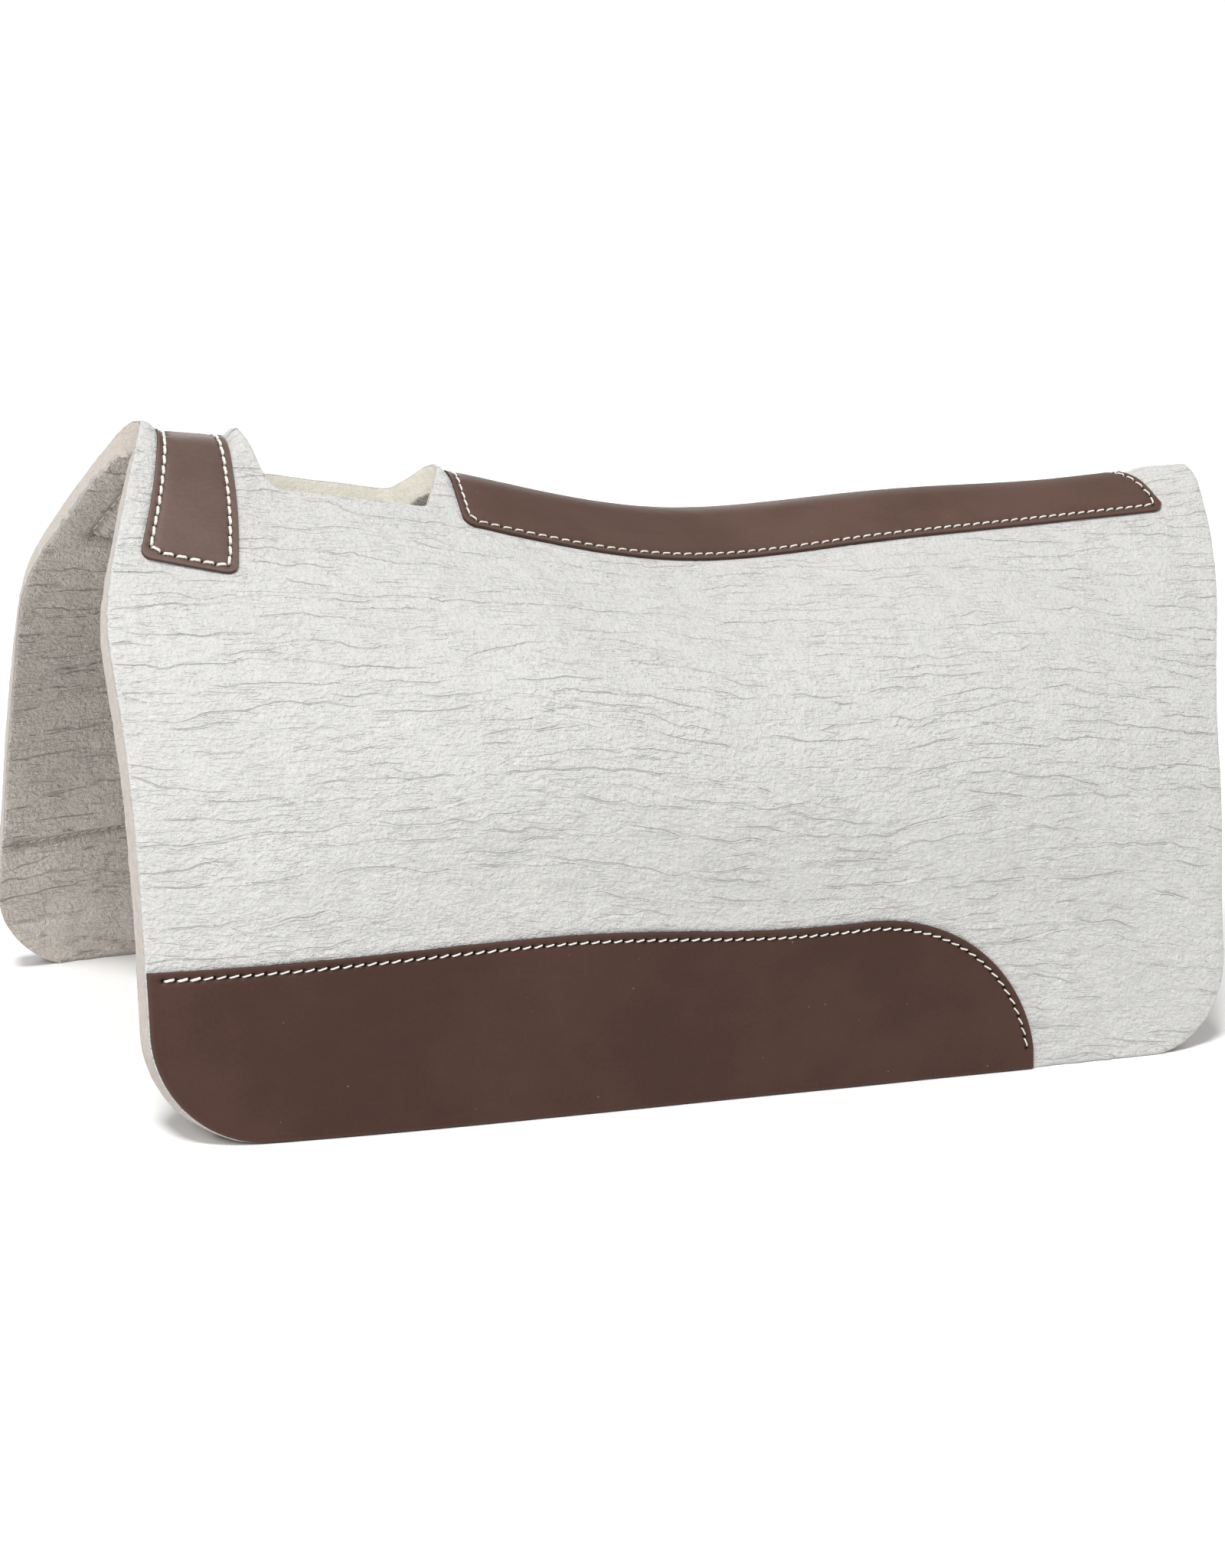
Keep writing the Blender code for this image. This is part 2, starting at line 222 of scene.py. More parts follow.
def lower_corner(edge, radius, front, inset=0.0):
    """A lower corner of the flap, between its front or rear edge and its hem."""
    side = 1 if front else -1
    upright = float(spline(edge, STRAIGHT_ARC)) - side * inset
    centre_x = upright - side * radius
    centre = (centre_x, float(hem_arc(centre_x)) - inset - radius)
    return arc_corner(centre, (side * radius, radius), 0, 90)


def felt_runs():
    """One felt half's outline as four runs: the free edge, seam, opening and seam."""
    front = lower_corner(FRONT_EDGE, FRONT_CORNER, True)
    rear = lower_corner(REAR_EDGE, REAR_CORNER, False)
    points = [(float(spline(FRONT_EDGE, a)), a) for a in np.linspace(0, front[0][1] - 0.02, 90)]
    points += front
    points += [(x, float(hem_arc(x))) for x in np.linspace(front[-1][0] - 0.02, rear[-1][0] + 0.02, 90)]
    points += rear[::-1]
    points += [(float(spline(REAR_EDGE, a)), a) for a in np.linspace(rear[0][1] - 0.02, 0, 90)]
    low = (OPENING_REAR[0], 0.0), (OPENING_REAR[1], OPENING_HALF_WIDTH)
    high = (OPENING_FRONT[1], OPENING_HALF_WIDTH), (OPENING_FRONT[0], 0.0)
    opening = [low[0]] + bevel(*low, high[0], OPENING_CUTS[0])
    opening += bevel(low[1], *high, OPENING_CUTS[1]) + [high[1]]
    return [points, [points[-1], opening[0]], opening, [opening[-1], points[0]]]


def both_sides(half):
    """A closed outline across the spine, from its half that runs from spine to spine."""
    return half + [(x, -arc) for x, arc in half[::-1] if arc > 0]


def strap_half(inset):
    """The left half of the strap's outline, or of the line that lies inset inside it."""
    cut = LEATHER_CORNER - inset * CORNER_SHRINK
    reach = STRAP_REACH[0] - inset, STRAP_REACH[1] - inset
    front = [(float(spline(STRAP_FRONT, arc)) - inset, arc) for arc in np.linspace(0, reach[0], 40)]
    rear = [(float(spline(STRAP_REAR, arc)) + inset, arc) for arc in np.linspace(reach[1], 0, 40)]
    corner = bevel(front[-8], front[-1], rear[0], cut) + bevel(front[-1], rear[0], rear[7], cut)
    front = [p for p in front if p[1] < reach[0] - cut]
    rear = [p for p in rear if p[1] < reach[1] - cut]
    return front + corner + rear


def spine_half(inset):
    """The left half of the spine leather's outline, or of a line inset inside it."""
    radius = LEATHER_CORNER - inset * CORNER_SHRINK
    front, rear = SPINE_FRONT[1] - inset, SPINE_REAR[1] + inset
    size = (radius, radius)
    centre = (front - radius, float(spline(SPINE_HALF_WIDTH, front)) - inset - radius)
    far = (rear + radius, float(spline(SPINE_HALF_WIDTH, rear)) - inset - radius)
    xs = np.linspace(front - radius - 0.02, rear + radius + 0.02, 90)
    side = [(x, float(spline(SPINE_HALF_WIDTH, x)) - inset) for x in xs]
    first = [(SPINE_FRONT[0] - inset, 0.0)]
    last = [(SPINE_REAR[0] + inset, 0.0)]
    return first + arc_corner(centre, size, 10, 90, 8) + side + arc_corner(far, size, 90, 165, 8) + last


def wear_top(inset):
    """The wear leather's upper edge and round rear end, from the front down to the hem."""
    start = WEAR_TOP[0][0]
    front = WEAR_STITCH_START if inset else WEAR_EDGE_START
    top = [(x, float(spline(WEAR_TOP, x)) + inset) for x in np.linspace(front, start + 0.02, 60)]
    depth = float(hem_arc(start - WEAR_ROUND_LENGTH)) - WEAR_TOP[0][1]
    size = (WEAR_ROUND_LENGTH - inset, -(depth - inset))
    return top + arc_corner((start, WEAR_TOP[0][1] + depth), size, 90, 172)


def wear_runs():
    """The wear leather's outline: its front edge and hem, and then its upper edge."""
    front = lower_corner(FRONT_EDGE, FRONT_CORNER, True, WEAR_INSET)
    edge = [(float(spline(FRONT_EDGE, arc)) - WEAR_INSET, arc) for arc in WEAR_FRONT_ARCS]
    top = wear_top(0.0)
    rear_x = WEAR_TOP[0][0] - WEAR_ROUND_LENGTH
    xs = np.linspace(front[-1][0] - 0.02, rear_x + 0.001, 60)
    hem = [(x, float(hem_arc(x)) - WEAR_INSET) for x in xs]
    below = edge + front + hem
    return [below, [below[-1]] + top[::-1] + [below[0]]]


# ---- random fields over the flat pattern ----

FIELD = 1024
FIELD_STEP = 0.001


def field(seed, long_x, long_arc):
    """Smooth random values, a millimetre apart, with these correlation lengths."""
    white = np.random.default_rng(seed).standard_normal((FIELD, FIELD))
    fx = np.fft.fftfreq(FIELD, FIELD_STEP)[:, None] * long_x
    fa = np.fft.fftfreq(FIELD, FIELD_STEP)[None, :] * long_arc
    made = np.fft.ifft2(np.fft.fft2(white) * np.exp(-(math.pi ** 2) * (fx ** 2 + fa ** 2))).real
    return made / made.std()


def read_field(values, x, arc):
    """The field at these places. It repeats every FIELD millimetres."""
    u = (x / FIELD_STEP) % (FIELD - 1)
    v = (arc / FIELD_STEP) % (FIELD - 1)
    return read_grid(values, u, v)


FOLDS = field(3, 0.026, 0.0020)
FOLD_DRIFT = field(4, 0.055, 0.030)
FOLD_WAVES = field(9, 0.0065, 0.0065)
FOLD_PATCHES = field(5, 0.020, 0.009)
LUMPS = field(6, 0.0034, 0.0021)
SWELLS = field(7, 0.016, 0.012)
SAGS = field(8, 0.060, 0.055)
INSIDE = 0.311

# The relief's heights, and how it calms towards the felt's free edges.
CREASE_HEIGHT = 0.0008
LUMP_HEIGHT = 0.00020
SWELL_HEIGHT = 0.00036
CALM_EDGE = 0.3
CALM_WIDTH = 0.010
EDGE_END = 0.44

# The felt stands up, or is held down, over these half widths along the spine.
LIFT_WIDTH = 0.017
HELD_WIDTH = 0.024
OPENING_MIDDLE = 0.23


def folds_at(x, arc):
    """The signed fold field, whose upward zeros are the felt's creases, and its strength."""
    drift = arc + 0.0035 * read_field(FOLD_DRIFT, x, arc) + 0.0008 * read_field(FOLD_WAVES, x, arc)
    value = read_field(FOLDS, x, drift)
    slope = read_field(FOLDS, x, drift + 0.0008) - read_field(FOLDS, x, drift - 0.0008)
    patch = read_field(FOLD_PATCHES, x, arc)
    return value, smooth((patch + 1.7) / 1.6) * smooth(slope / 0.6)


def calm(x, arc):
    """The relief's share: CALM_EDGE at the felt's free edges and 1 some way inside them."""
    down = np.abs(arc)
    level = np.clip(down, 0, EDGE_END)
    ends = np.minimum(spline(FRONT_EDGE, level) - x, x - spline(REAR_EDGE, level))
    beside = (x < OPENING_REAR[0]) | (x > OPENING_FRONT[0])
    opening = np.maximum(down - OPENING_HALF_WIDTH, 0) + beside
    return CALM_EDGE + (1 - CALM_EDGE) * smooth(np.minimum(ends, opening) / CALM_WIDTH)


def crinkle(x, arc):
    """Height of the felt's surface over its smooth shape. A crease is a ridge by a valley."""
    value, strength = folds_at(x, arc)
    step = hump(value - 0.55, 0.45) - 0.9 * hump(value + 0.05, 0.32)
    fine = LUMP_HEIGHT * read_field(LUMPS, x, arc) + SWELL_HEIGHT * read_field(SWELLS, x, arc)
    return calm(x, arc) * (CREASE_HEIGHT * strength * step + fine)


def sag(x, arc):
    """The slow unevenness that felt and leather share."""
    return 0.0005 * read_field(SAGS, x, arc)


def lift(x, arc):
    """How far the felt stands up along the spine, or is held down there by the strap."""
    strap_front = STRAP_FRONT[0][1]
    front = 0.0028 * smooth((x - strap_front) / 0.006)
    behind_strap = 0.0081 * smooth((0.3035 - x) / 0.008) * (x > OPENING_MIDDLE)
    behind_opening = 0.0053 * smooth((x - SPINE_FRONT[0]) / 0.007) * (x < OPENING_MIDDLE)
    rump = 0.0044 * smooth((-0.355 - x) / 0.022)
    under_strap = smooth((x - 0.3025) / 0.004) * smooth((0.3505 - x) / 0.005)
    held = (0.0046 - (strap_front - x) * 0.100) * under_strap
    raised = front + behind_strap + behind_opening + rump
    return raised * hump(arc, LIFT_WIDTH) - held * hump(arc, HELD_WIDTH)


# ---- distances ----

def to_path(points, path, closed):
    """Distance to the path, and whether a point lies inside it."""
    a = np.asarray(path, float)
    b = np.roll(a, -1, axis=0)
    if not closed:
        a, b = a[:-1], b[:-1]
    course = b - a
    length = np.maximum((course ** 2).sum(1), 1e-16)
    slant = np.where(course[:, 1] == 0, 1, course[:, 1])
    best = np.empty(len(points))
    inside = np.empty(len(points), bool)
    for part in np.array_split(np.arange(len(points)), 1 + len(points) * len(a) // 2000000):
        p = points[part][:, None, :]
        t = np.clip(((p - a) * course).sum(2) / length, 0, 1)
        gone = p - a - t[..., None] * course
        best[part] = np.sqrt((gone ** 2).sum(2).min(1))
        crossed = (a[:, 1] <= p[..., 1]) != (b[:, 1] <= p[..., 1])
        at = a[:, 0] + (p[..., 1] - a[:, 1]) * course[:, 0] / slant
        inside[part] = (crossed & (p[..., 0] < at)).sum(1) % 2 == 1
    return best, inside


def resample(points, step):
    """The path again, with points evenly spaced by about step."""
    points = np.asarray(points, float)
    gone = np.linalg.norm(np.diff(points, axis=0), axis=1)
    gone = np.concatenate([[0], np.cumsum(gone)])
    at = np.linspace(0, gone[-1], max(2, round(gone[-1] / step) + 1))
    return np.stack([np.interp(at, gone, points[:, k]) for k in (0, 1)], axis=1)


def whole_line(half):
    """A closed line of close points, from its left half."""
    return resample(both_sides(half) + half[:1], LINE_STEP)


LINE_STEP = 0.0005
STRAP_LINE = whole_line(strap_half(STITCH_INSET))
SPINE_LINE = whole_line(spine_half(STITCH_INSET))
WEAR_LINE = resample(wear_top(STITCH_INSET), LINE_STEP)
STRAP_RIM = whole_line(strap_half(0.0))
SPINE_RIM = whole_line(spine_half(0.0))
WEAR_RIM = resample([p for run in wear_runs() for p in run[:-1]] + wear_runs()[0][:1], LINE_STEP)
GRID_STEP = 0.001
GRID_X = np.arange(-0.43, 0.4301, GRID_STEP)
GRID_ARC = np.arange(0, 0.5001, GRID_STEP)


def nearest(points):
    """A function that gives the distance from a flat place to the nearest of the points."""
    tree = KDTree(len(points))
    for i, p in enumerate(points):
        tree.insert((p[0], p[1], 0), i)
    tree.balance()
    return lambda x, arc: np.array([tree.find((p, q, 0))[2] for p, q in zip(x, arc)])


def half_grid(lines, filled):
    """Distances to the lines over the left half of the pattern, negative inside if filled."""
    x, arc = (values.ravel() for values in np.meshgrid(GRID_X, GRID_ARC, indexing="ij"))
    far = nearest(np.vstack(lines))(x, arc)
    if filled:
        points = np.stack([x, arc], axis=1)
        for line in lines:
            near = (points >= line.min(0)).all(1) & (points <= line.max(0)).all(1)
            inside = to_path(points[near], line[::8], True)[1]
            far[np.nonzero(near)[0][inside]] *= -1
    return far.reshape(len(GRID_X), len(GRID_ARC))


STITCH_GRID = half_grid([STRAP_LINE, SPINE_LINE, WEAR_LINE], False)
RIM_GRID = half_grid([STRAP_RIM, SPINE_RIM, WEAR_RIM], True)


def stitch_distance(x, arc):
    """Distance to the nearest line of stitches."""
    return read_grid(STITCH_GRID, (x - GRID_X[0]) / GRID_STEP, np.abs(arc) / GRID_STEP)


def rim_distance(x, arc):
    """Distance to the nearest leather's edge, negative under the leather."""
    return read_grid(RIM_GRID, (x - GRID_X[0]) / GRID_STEP, np.abs(arc) / GRID_STEP)


# ---- solids from flat patterns ----

def inset_vectors(loop, radius):
    """For each point of a counterclockwise loop, the move that insets it by its radius."""
    ahead = np.roll(loop, -1, axis=0) - loop
    ahead /= np.linalg.norm(ahead, axis=1)[:, None]
    n_next = np.stack([-ahead[:, 1], ahead[:, 0]], axis=1)
    n_last = np.roll(n_next, 1, axis=0)
    r_next, r_last = radius, np.roll(radius, 1)
    cross = n_last[:, 0] * n_next[:, 1] - n_last[:, 1] * n_next[:, 0]
    mean = n_next + n_last
    mean /= np.linalg.norm(mean, axis=1)[:, None]
    move = mean * ((r_next + r_last) / 2)[:, None]
    for i in np.nonzero(np.abs(cross) > 0.35)[0]:
        move[i] = np.linalg.solve([n_last[i], n_next[i]], [r_last[i], r_next[i]])
    return move


def lattice(ring, spacing, stretch, extra):
    """Points of a stretched hexagonal lattice inside the ring and clear of the extra points."""
    low, high = ring.min(0), ring.max(0)
    step_x, step_arc = spacing * stretch, spacing * 0.866
    xs = np.arange(low[0], high[0], step_x)
    arcs = np.arange(low[1], high[1], step_arc)
    grid = np.stack(np.meshgrid(xs, arcs), axis=-1)
    grid[1::2, :, 0] += step_x / 2
    points = grid.reshape(-1, 2)
    far, inside = to_path(points, ring[::3], True)
    points = points[inside & (far > spacing * 0.75)]
    if len(extra):
        points = points[nearest(extra)(*points.T) > spacing * 0.62]
    return points


def triangulate(ring, spacing, stretch, extra=()):
    """Points and triangles that fill the ring. The ring's points come first."""
    extra = np.asarray(extra, float).reshape(-1, 2)
    if len(extra):
        far, inside = to_path(extra, ring, True)
        extra = extra[inside & (far > 0.0003)]
    points = np.vstack([ring, extra, lattice(ring, spacing, stretch, extra)])
    squeezed = [Vector((p[0] / stretch, p[1])) for p in points]
    made = delaunay_2d_cdt(squeezed, [], [list(range(len(ring)))], 1, 1e-8)
    if len(made[0]) != len(points):
        raise RuntimeError("two flat points fell together")
    return points, np.array(made[2])


def link(made):
    """Puts an object into the scene."""
    bpy.context.scene.collection.objects.link(made)


def make_mesh(name, points, triangles, vectors):
    """An object with smooth triangles and named vector attributes."""
    mesh = bpy.data.meshes.new(name)
    mesh.vertices.add(len(points))
    mesh.vertices.foreach_set("co", np.asarray(points, np.float32).ravel())
    mesh.loops.add(triangles.size)
    mesh.loops.foreach_set("vertex_index", triangles.astype(np.int32).ravel())
    mesh.polygons.add(len(triangles))
    mesh.polygons.foreach_set("loop_start", np.arange(0, triangles.size, 3, dtype=np.int32))
    mesh.polygons.foreach_set("use_smooth", np.ones(len(triangles), bool))
    for key, values in vectors.items():
        held = mesh.attributes.new(key, "FLOAT_VECTOR", "POINT")
        held.data.foreach_set("vector", np.asarray(values, np.float32).ravel())
    mesh.update(calc_edges=True)
    mesh.validate()
    made = bpy.data.objects.new(name, mesh)
    link(made)
    return made


def wall_rows(foot, middles):
    """The rows between a sheet's faces: (inset, where from, how far).

    inset is in edge radii. The height is so many radii under the top, a share of the way
    down, or so many radii over the bottom, whose own radius is foot times the edge's.
    """
    curve = [(1 - math.sin(t), 1 - math.cos(t)) for t in map(math.radians, (30, 60, 90))]
    rows = [(inset, "top", share) for inset, share in curve]
    rows += [(0.0, "middle", i / (middles + 1)) for i in range(1, middles + 1)]
    return rows + [(foot * inset, "bottom", foot * share) for inset, share in curve[::-1]]


class Pattern:
    """A flat sheet's outline and the triangles that fill its two faces."""

    def __init__(self, runs, step, radius_of, top, bottom, foot=1.0, middles=4):
        parts = [resample(run, step)[:-1] for run in runs]
        self.loop = np.vstack(parts)
        kind = np.concatenate([np.full(len(part), i) for i, part in enumerate(parts)])
        self.radius = radius_of(self.loop, kind)
        self.move = inset_vectors(self.loop, self.radius)
        self.foot, self.middles = foot, middles
        self.top, self.top_faces = triangulate(self.loop + self.move, *top)
        self.bottom, self.bottom_faces = triangulate(self.loop + self.move * foot, *bottom)

    def build(self, name, hand, top_height, bottom_height, rough, colour_fields, skew=None):
        """The solid on one side of the pad, or across it with hand 1."""
        count = len(self.loop)
        top = self.top * (1, hand)
        bottom = self.bottom * (1, hand)
        if skew:
            bottom = bottom + skew(bottom, np.ones(len(bottom)))
        top_z, bottom_z = top_height(*top.T), bottom_height(*bottom.T)
        flats, heights, depths, faces = [top], [top_z], [np.zeros(len(top))], []
        start = len(top)
        last = np.arange(count)
        gone = np.arange(count) * np.linalg.norm(self.loop[1] - self.loop[0])
        over, under = top_z[:count], bottom_z[:count]
        thick = over - under
        for inset, origin, share in wall_rows(self.foot, self.middles):
            flat = self.loop + self.move * inset
            if origin == "top":
                height = over - share * self.radius
            elif origin == "bottom":
                height = under + share * self.radius
            else:
                high, low = over - self.radius, under + self.radius * self.foot
                height = high + (low - high) * share
            depth = (over - height) / thick
            push = rough * read_field(LUMPS, gone, depth * FELT + 0.7) * smooth(depth * (1 - depth) * 8)
            flat = flat + self.move / self.radius[:, None] * push[:, None]
            flat = flat * (1, hand)
            flats.append(flat + skew(flat, depth) if skew else flat)
            heights.append(height)
            depths.append(depth)
            row = start + np.arange(count)
            faces += band(last, row)
            start, last = start + count, row
        flats.append(bottom)
        heights.append(bottom_z)
        depths.append(np.ones(len(bottom)))
        faces += band(last, start + np.arange(count))
        flat, height, depth = np.vstack(flats), np.concatenate(heights), np.concatenate(depths)
        points = lay(flat[:, 0], flat[:, 1] + hand * 1e-9, height)
        triangles = np.vstack([self.top_faces, self.bottom_faces[:, ::-1] + start, *faces])
        if hand < 0:
            triangles = triangles[:, ::-1]
        cloth = np.stack([flat[:, 0], flat[:, 1], -depth * FELT], axis=1)
        return make_mesh(name, points, triangles, {"cloth": cloth, **colour_fields(flat, depth)})


def band(upper, lower):
    """Triangles between two closed rows of points, the first nearer the top face."""
    a, b = upper, np.roll(upper, -1)
    c, d = lower, np.roll(lower, -1)
    return [np.stack([a, c, b], axis=1), np.stack([b, c, d], axis=1)]


# ---- stitches ----

def holes_on(path, closed, pitch):
    """Evenly spaced holes along a path, with the path's direction at each."""
    path = np.asarray(path, float)
    if closed and np.linalg.norm(path[0] - path[-1]) > 1e-9:
        path = np.vstack([path, path[:1]])
    holes = resample(path, pitch)
    course = np.gradient(holes, axis=0)
    if closed:
        holes, course = holes[:-1], (np.roll(holes[:-1], -1, axis=0) - np.roll(holes[:-1], 1, axis=0))
    course /= np.linalg.norm(course, axis=1)[:, None]
    return holes, course


def across(course):
    """The direction to the left of each course."""
    return np.stack([-course[:, 1], course[:, 0]], axis=1)


def hole_points(holes, course):
    """Points for each hole's dimple: its centre, its floor and its rim."""
    side = across(course)
    found = [holes]
    for count, length, width in ((6, 0.0006, 0.0009), (10, 0.0013, 0.0016)):
        for i in range(count):
            t = 2 * math.pi * i / count
            found.append(holes + course * length * math.cos(t) + side * width * math.sin(t))
    return np.vstack(found)


def sewn(holes, course, closed, hand, slant):
    """The two ends of each slanted stitch, as flat points."""
    side = across(course) * slant
    first, last = holes - side, np.roll(holes, -1, axis=0) + np.roll(side, -1, axis=0)
    if not closed:
        first, last = first[:-1], last[:-1]
    shorter = (last - first) * STITCH_ENDS
    return (first + shorter) * (1, hand), (last - shorter) * (1, hand)


def thread_mesh(name, ends, base, out, radius, stations=15, sides=12, dive=0.0013, seed=0):
    """One mesh of separate stitches: each rises from a hole, runs to the next and dives.

    base(x, arc) is the surface's height and out is 1 on the outer face or -1 inside. The
    thread attribute holds how far along its rise a point is, which the material uses for
    painted shade near the holes, and the stitch's own tone.
    """
    first, last = ends
    rng = np.random.default_rng(seed)
    t = np.linspace(0, 1, stations)
    wobble = rng.normal(0, 0.00008, (2, len(first), 2))
    first, last = first + wobble[0], last + wobble[1]
    flat = first[:, None, :] * (1 - t)[:, None] + last[:, None, :] * t[:, None]
    x, arc = flat[..., 0], flat[..., 1]
    ends_flat = (first + last) / 2
    level = base(ends_flat[:, 0], ends_flat[:, 1])[:, None]
    size = np.broadcast_to(radius, len(first))[:, None]
    rise = np.minimum(t, 1 - t) * 2
    arch = size * 0.66 - (dive + size * 1.6) * (1 - smooth((rise + 0.04) / 0.40)) + 0.0001 * smooth(rise)
    height = level + out * arch
    spine = lay(x, arc, height)
    normal = normal_of(x, arc) * out
    tangent = np.gradient(spine, axis=1)
    tangent /= np.linalg.norm(tangent, axis=2)[..., None]
    side = np.cross(normal, tangent)
    side /= np.linalg.norm(side, axis=2)[..., None]
    upright = np.cross(tangent, side)
    turn = np.linspace(0, 2 * math.pi, sides, endpoint=False)
    ply = 1 + 0.10 * np.cos(3 * turn[None, None, :] - t[None, :, None] * 13
                            + rng.uniform(0, 6, (len(first), 1, 1)))
    girth = size[..., None] * ply * (0.72 + 0.28 * smooth(rise / 0.25))[None, :, None]
    ring = (side[:, :, None, :] * np.cos(turn)[:, None] * girth[..., None]
            + upright[:, :, None, :] * (np.sin(turn) * THREAD_FLATNESS)[:, None] * girth[..., None])
    body = spine[:, :, None, :] + ring
    count = len(first)
    points = np.concatenate([body.reshape(count, -1, 3), spine[:, [0, -1], :]], axis=1)
    per = stations * sides + 2
    index = np.arange(stations * sides).reshape(stations, sides)
    a, b = index[:-1], np.roll(index[:-1], -1, axis=1)
    c, d = index[1:], np.roll(index[1:], -1, axis=1)
    faces = [np.stack([a, b, c], -1).reshape(-1, 3), np.stack([b, d, c], -1).reshape(-1, 3)]
    head, tail = per - 2, per - 1
    first_ring, last_ring = index[0], index[-1]
    faces.append(np.stack([np.full(sides, head), np.roll(first_ring, -1), first_ring], -1))
    faces.append(np.stack([np.full(sides, tail), last_ring, np.roll(last_ring, -1)], -1))
    one = np.vstack(faces)
    triangles = (one[None] + (np.arange(count) * per)[:, None, None]).reshape(-1, 3)
    shade = np.zeros((count, per, 3))
    shade[..., 0] = np.concatenate([np.repeat(rise, sides), [0, 0]])
    shade[..., 1] = rng.random(count)[:, None]
    return make_mesh(name, points.reshape(-1, 3), triangles, {"thread": shade.reshape(-1, 3)})


# ---- surfaces ----

PRESS = 0.0009
GROOVE = 0.0042
UNDER = 0.00012
INSIDE_RELIEF = 1.5


def base_height(x, arc):
    """The felt's outer face without its crinkles, pressed in along the stitches."""
    near = stitch_distance(x, arc)
    return lift(x, arc) + sag(x, arc) - PRESS * hump(near, 0.0030)


def felt_top(x, arc):
    """The felt's outer face: smooth under the leathers and crinkled where it is bare."""
    rim = rim_distance(x, arc)
    bare = smooth((rim + 0.001) / 0.004)
    swell = 0.0005 * hump(rim - 0.003, 0.005) * bare
    return base_height(x, arc) + bare * crinkle(x, arc) + swell - 0.0001


def felt_bottom(x, arc):
    """The felt's inner face, with a channel that the bobbin threads pull into it."""
    near = stitch_distance(x, arc)
    quiet = smooth(near / 0.006)
    groove = GROOVE * hump(near, 0.0032) + 0.0012 * hump(near, 0.011)
    return lift(x, arc) + sag(x, arc) - FELT + groove - quiet * INSIDE_RELIEF * crinkle(x, arc + INSIDE)


def leather_top(x, arc):
    """A leather's outer face, a little puffed inside its rim."""
    far = rim_distance(x, arc)
    puff = 0.00025 * hump(far + 0.0025, 0.0016)
    return base_height(x, arc) + UNDER + LEATHER + puff + 0.00003 * read_field(LUMPS, x, arc)


def leather_bottom(x, arc):
    """A leather's underside, just clear of the felt."""
    return base_height(x, arc) + UNDER


def felt_colours(flat, depth):
    """crease: the fold field, its strength, and 1 where the felt is bare. The material paints shade along
    the creases and, on the inner face where it is not bare, in the stitch channels.
    """
    x, arc = flat.T
    outer, outer_strength = folds_at(x, arc)
    inner, inner_strength = folds_at(x, arc + INSIDE)
    inside = depth > 0.5
    side_on = smooth((depth * (1 - depth)) / 0.02)
    value = np.where(inside, inner, outer)
    strength = np.where(inside, inner_strength, outer_strength) * (1 - side_on)
    near = stitch_distance(x, arc)
    bare = np.where(inside, smooth(near / 0.004), smooth(rim_distance(x, arc) / 0.0025))
    return {"crease": np.stack([value, strength, bare], axis=1)}


# ---- materials ----

class Nodes:
    """A short way to write a material's nodes. Most methods add one and give its output."""

    def __init__(self, name, roughness, **settings):
        self.material = bpy.data.materials.new(name)
        self.material.use_nodes = True
        self.tree = self.material.node_tree
        self.shader = self.tree.nodes["Principled BSDF"]
        self.shader.inputs["Roughness"].default_value = roughness
        for key, value in settings.items():
            self.shader.inputs[key.replace("_", " ")].default_value = value

    def add(self, kind, inputs=(), **settings):
        made = self.tree.nodes.new(kind)
        for key, value in settings.items():
            setattr(made, key, value)
        for key, value in dict(inputs).items():
            if isinstance(value, bpy.types.NodeSocket):
                self.tree.links.new(value, made.inputs[key])
            else:
                made.inputs[key].default_value = value
        return made

    def attribute(self, name):
        return self.add("ShaderNodeAttribute", attribute_name=name).outputs["Vector"]

    def split(self, vector):
        made = self.add("ShaderNodeSeparateXYZ", {0: vector})
        return made.outputs[0], made.outputs[1], made.outputs[2]

    def math(self, operation, *values, clamp=False):
        made = self.add("ShaderNodeMath", dict(enumerate(values)), operation=operation, use_clamp=clamp)
        return made.outputs[0]

    def times(self, first, second):
        return self.math("MULTIPLY", first, second)

    def noise(self, vector, scale, detail=2.0, rough=0.5):
        inputs = {"Vector": vector, "Scale": scale, "Detail": detail, "Roughness": rough}
        return self.add("ShaderNodeTexNoise", inputs).outputs[0]

    def cells(self, vector, scale, feature="F1"):
        inputs = {"Vector": vector, "Scale": scale}
        return self.add("ShaderNodeTexVoronoi", inputs, feature=feature).outputs[0]

    def stretch(self, vector, scale):
        inputs = {0: vector, 1: scale}
        return self.add("ShaderNodeVectorMath", inputs, operation="MULTIPLY").outputs[0]

    def ramp(self, value, low, high, start=0.0, end=1.0):
        inputs = {0: value, 1: low, 2: high, 3: start, 4: end}
        return self.add("ShaderNodeMapRange", inputs, interpolation_type="SMOOTHSTEP").outputs[0]

    def near(self, value, middle, width):
        """1 where the value is at the middle, falling to 0 this far from it."""
        away = self.math("ABSOLUTE", self.math("SUBTRACT", value, middle))
        return self.ramp(away, 0.0, width, 1.0, 0.0)

    def mix(self, share, first, second):
        first, second = ((*c, 1) if isinstance(c, tuple) else c for c in (first, second))
        inputs = {0: share, 6: first, 7: second}
        return self.add("ShaderNodeMix", inputs, data_type="RGBA").outputs[2]

    def total(self, *weighted):
        """The sum of (value, weight) pairs."""
        found = 0.0
        for value, weight in weighted:
            found = self.math("MULTIPLY_ADD", value, weight, found)
        return found

    def bump(self, height, strength=1.0, distance=0.001):
        made = self.add("ShaderNodeBump", {"Height": height, "Strength": strength, "Distance": distance})
        self.tree.links.new(made.outputs[0], self.shader.inputs["Normal"])

    def colour(self, socket):
        self.tree.links.new(socket, self.shader.inputs["Base Color"])

    def roughness(self, socket):
        self.tree.links.new(socket, self.shader.inputs["Roughness"])


